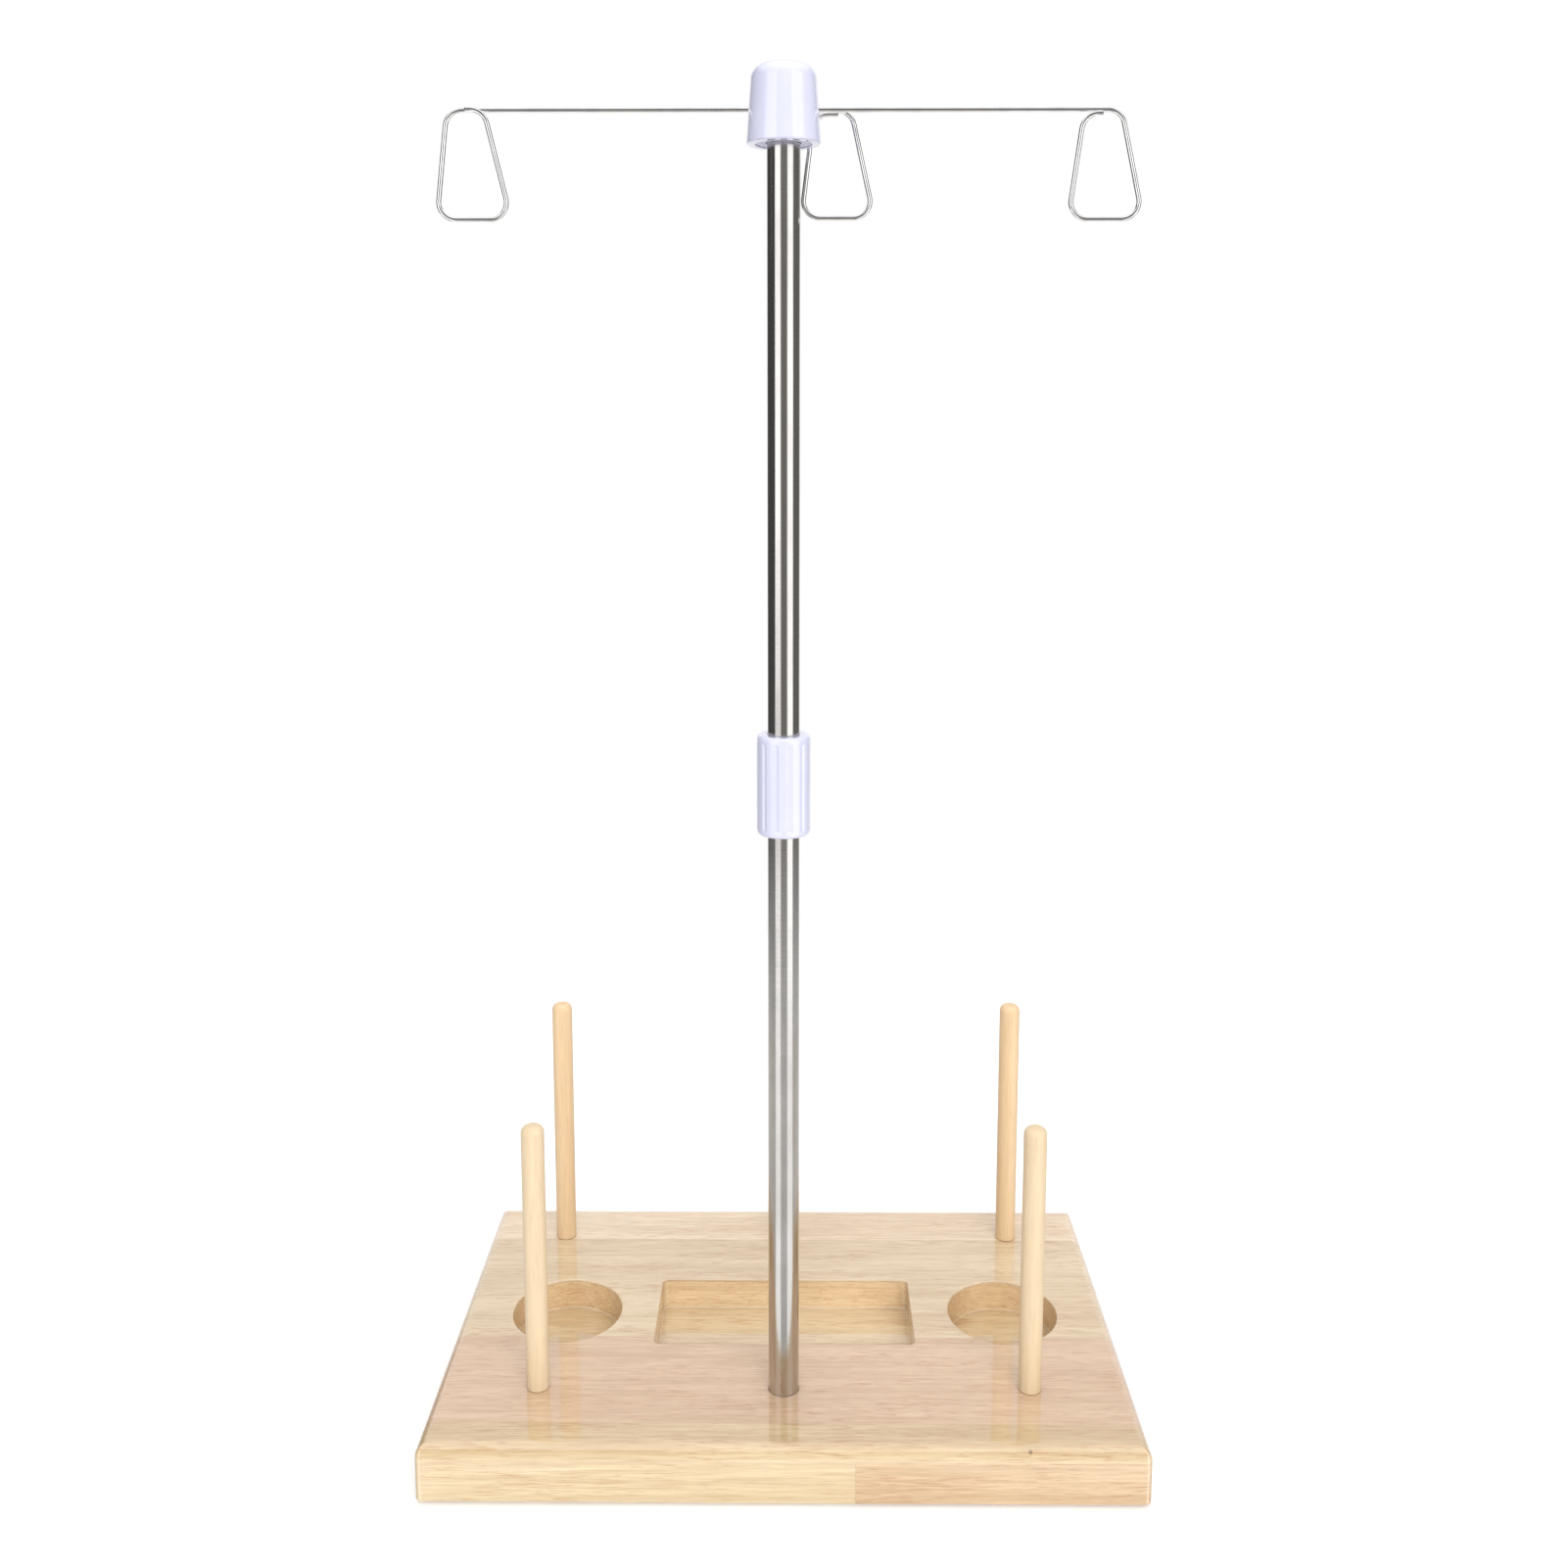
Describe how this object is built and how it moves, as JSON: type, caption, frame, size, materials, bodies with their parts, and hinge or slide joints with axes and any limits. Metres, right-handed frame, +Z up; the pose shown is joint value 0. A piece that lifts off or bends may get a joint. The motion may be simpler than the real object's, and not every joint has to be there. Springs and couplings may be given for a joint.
{
  "type": "sewing thread stand",
  "caption": "Wooden thread stand: upright dowels for spools, recesses for small tools, and a jointed steel pole whose turning head carries wire loops that guide the threads.",
  "frame": {"origin": "on the resting surface, under the middle of the base board", "axes": "+Z up, -Y towards the front edge that the pole stands near, +X to the right seen from the front"},
  "size_m": [0.275, 0.175, 0.5252],
  "materials": {
    "board_wood": "clear gloss lacquer over pale glued staves",
    "dowel_wood": "fine satin, bare pale dowel",
    "tube_steel": "bright polished along the tube",
    "white_plastic": "glossy moulded white",
    "wire_steel": "bright drawn wire",
    "inner_plastic": "plain moulded",
    "zinc_steel": "zinc plated",
    "pad_rubber": "matt foam rubber"
  },
  "bodies": {
    "base": {"base_board": "board_wood", "front_left_pad": "pad_rubber", "front_right_pad": "pad_rubber", "rear_left_pad": "pad_rubber", "rear_right_pad": "pad_rubber", "lower_tube": "tube_steel", "foot_plug": "inner_plastic", "pole_screw": "zinc_steel", "screw_washer": "zinc_steel", "joint_collar": "white_plastic", "joint_spigot": "inner_plastic"},
    "front_left_pin": {"front_left_pin": "dowel_wood"},
    "front_right_pin": {"front_right_pin": "dowel_wood"},
    "rear_left_pin": {"rear_left_pin": "dowel_wood"},
    "rear_centre_pin": {"rear_centre_pin": "dowel_wood"},
    "rear_right_pin": {"rear_right_pin": "dowel_wood"},
    "upper_pole": {"upper_tube": "tube_steel"},
    "head": {"head_cap": "white_plastic", "guide_hub": "white_plastic", "left_guide": "wire_steel", "right_guide": "wire_steel", "middle_guide": "wire_steel"}
  },
  "joints": [
    {"name": "front_left_pin_lift", "type": "slide", "parent": "base", "child": "front_left_pin", "axis": [0, 0, 1], "range_m": [0, 0.02]},
    {"name": "front_right_pin_lift", "type": "slide", "parent": "base", "child": "front_right_pin", "axis": [0, 0, 1], "range_m": [0, 0.02]},
    {"name": "rear_left_pin_lift", "type": "slide", "parent": "base", "child": "rear_left_pin", "axis": [0, 0, 1], "range_m": [0, 0.02]},
    {"name": "rear_centre_pin_lift", "type": "slide", "parent": "base", "child": "rear_centre_pin", "axis": [0, 0, 1], "range_m": [0, 0.02]},
    {"name": "rear_right_pin_lift", "type": "slide", "parent": "base", "child": "rear_right_pin", "axis": [0, 0, 1], "range_m": [0, 0.02]},
    {"name": "upper_pole_lift", "type": "slide", "parent": "base", "child": "upper_pole", "axis": [0, 0, 1], "range_m": [0, 0.03]},
    {"name": "head_turn", "type": "hinge", "parent": "upper_pole", "child": "head", "pos_m": [0, -0.0505, 0.5066], "axis": [0, 0, 1], "continuous": true}
  ]
}
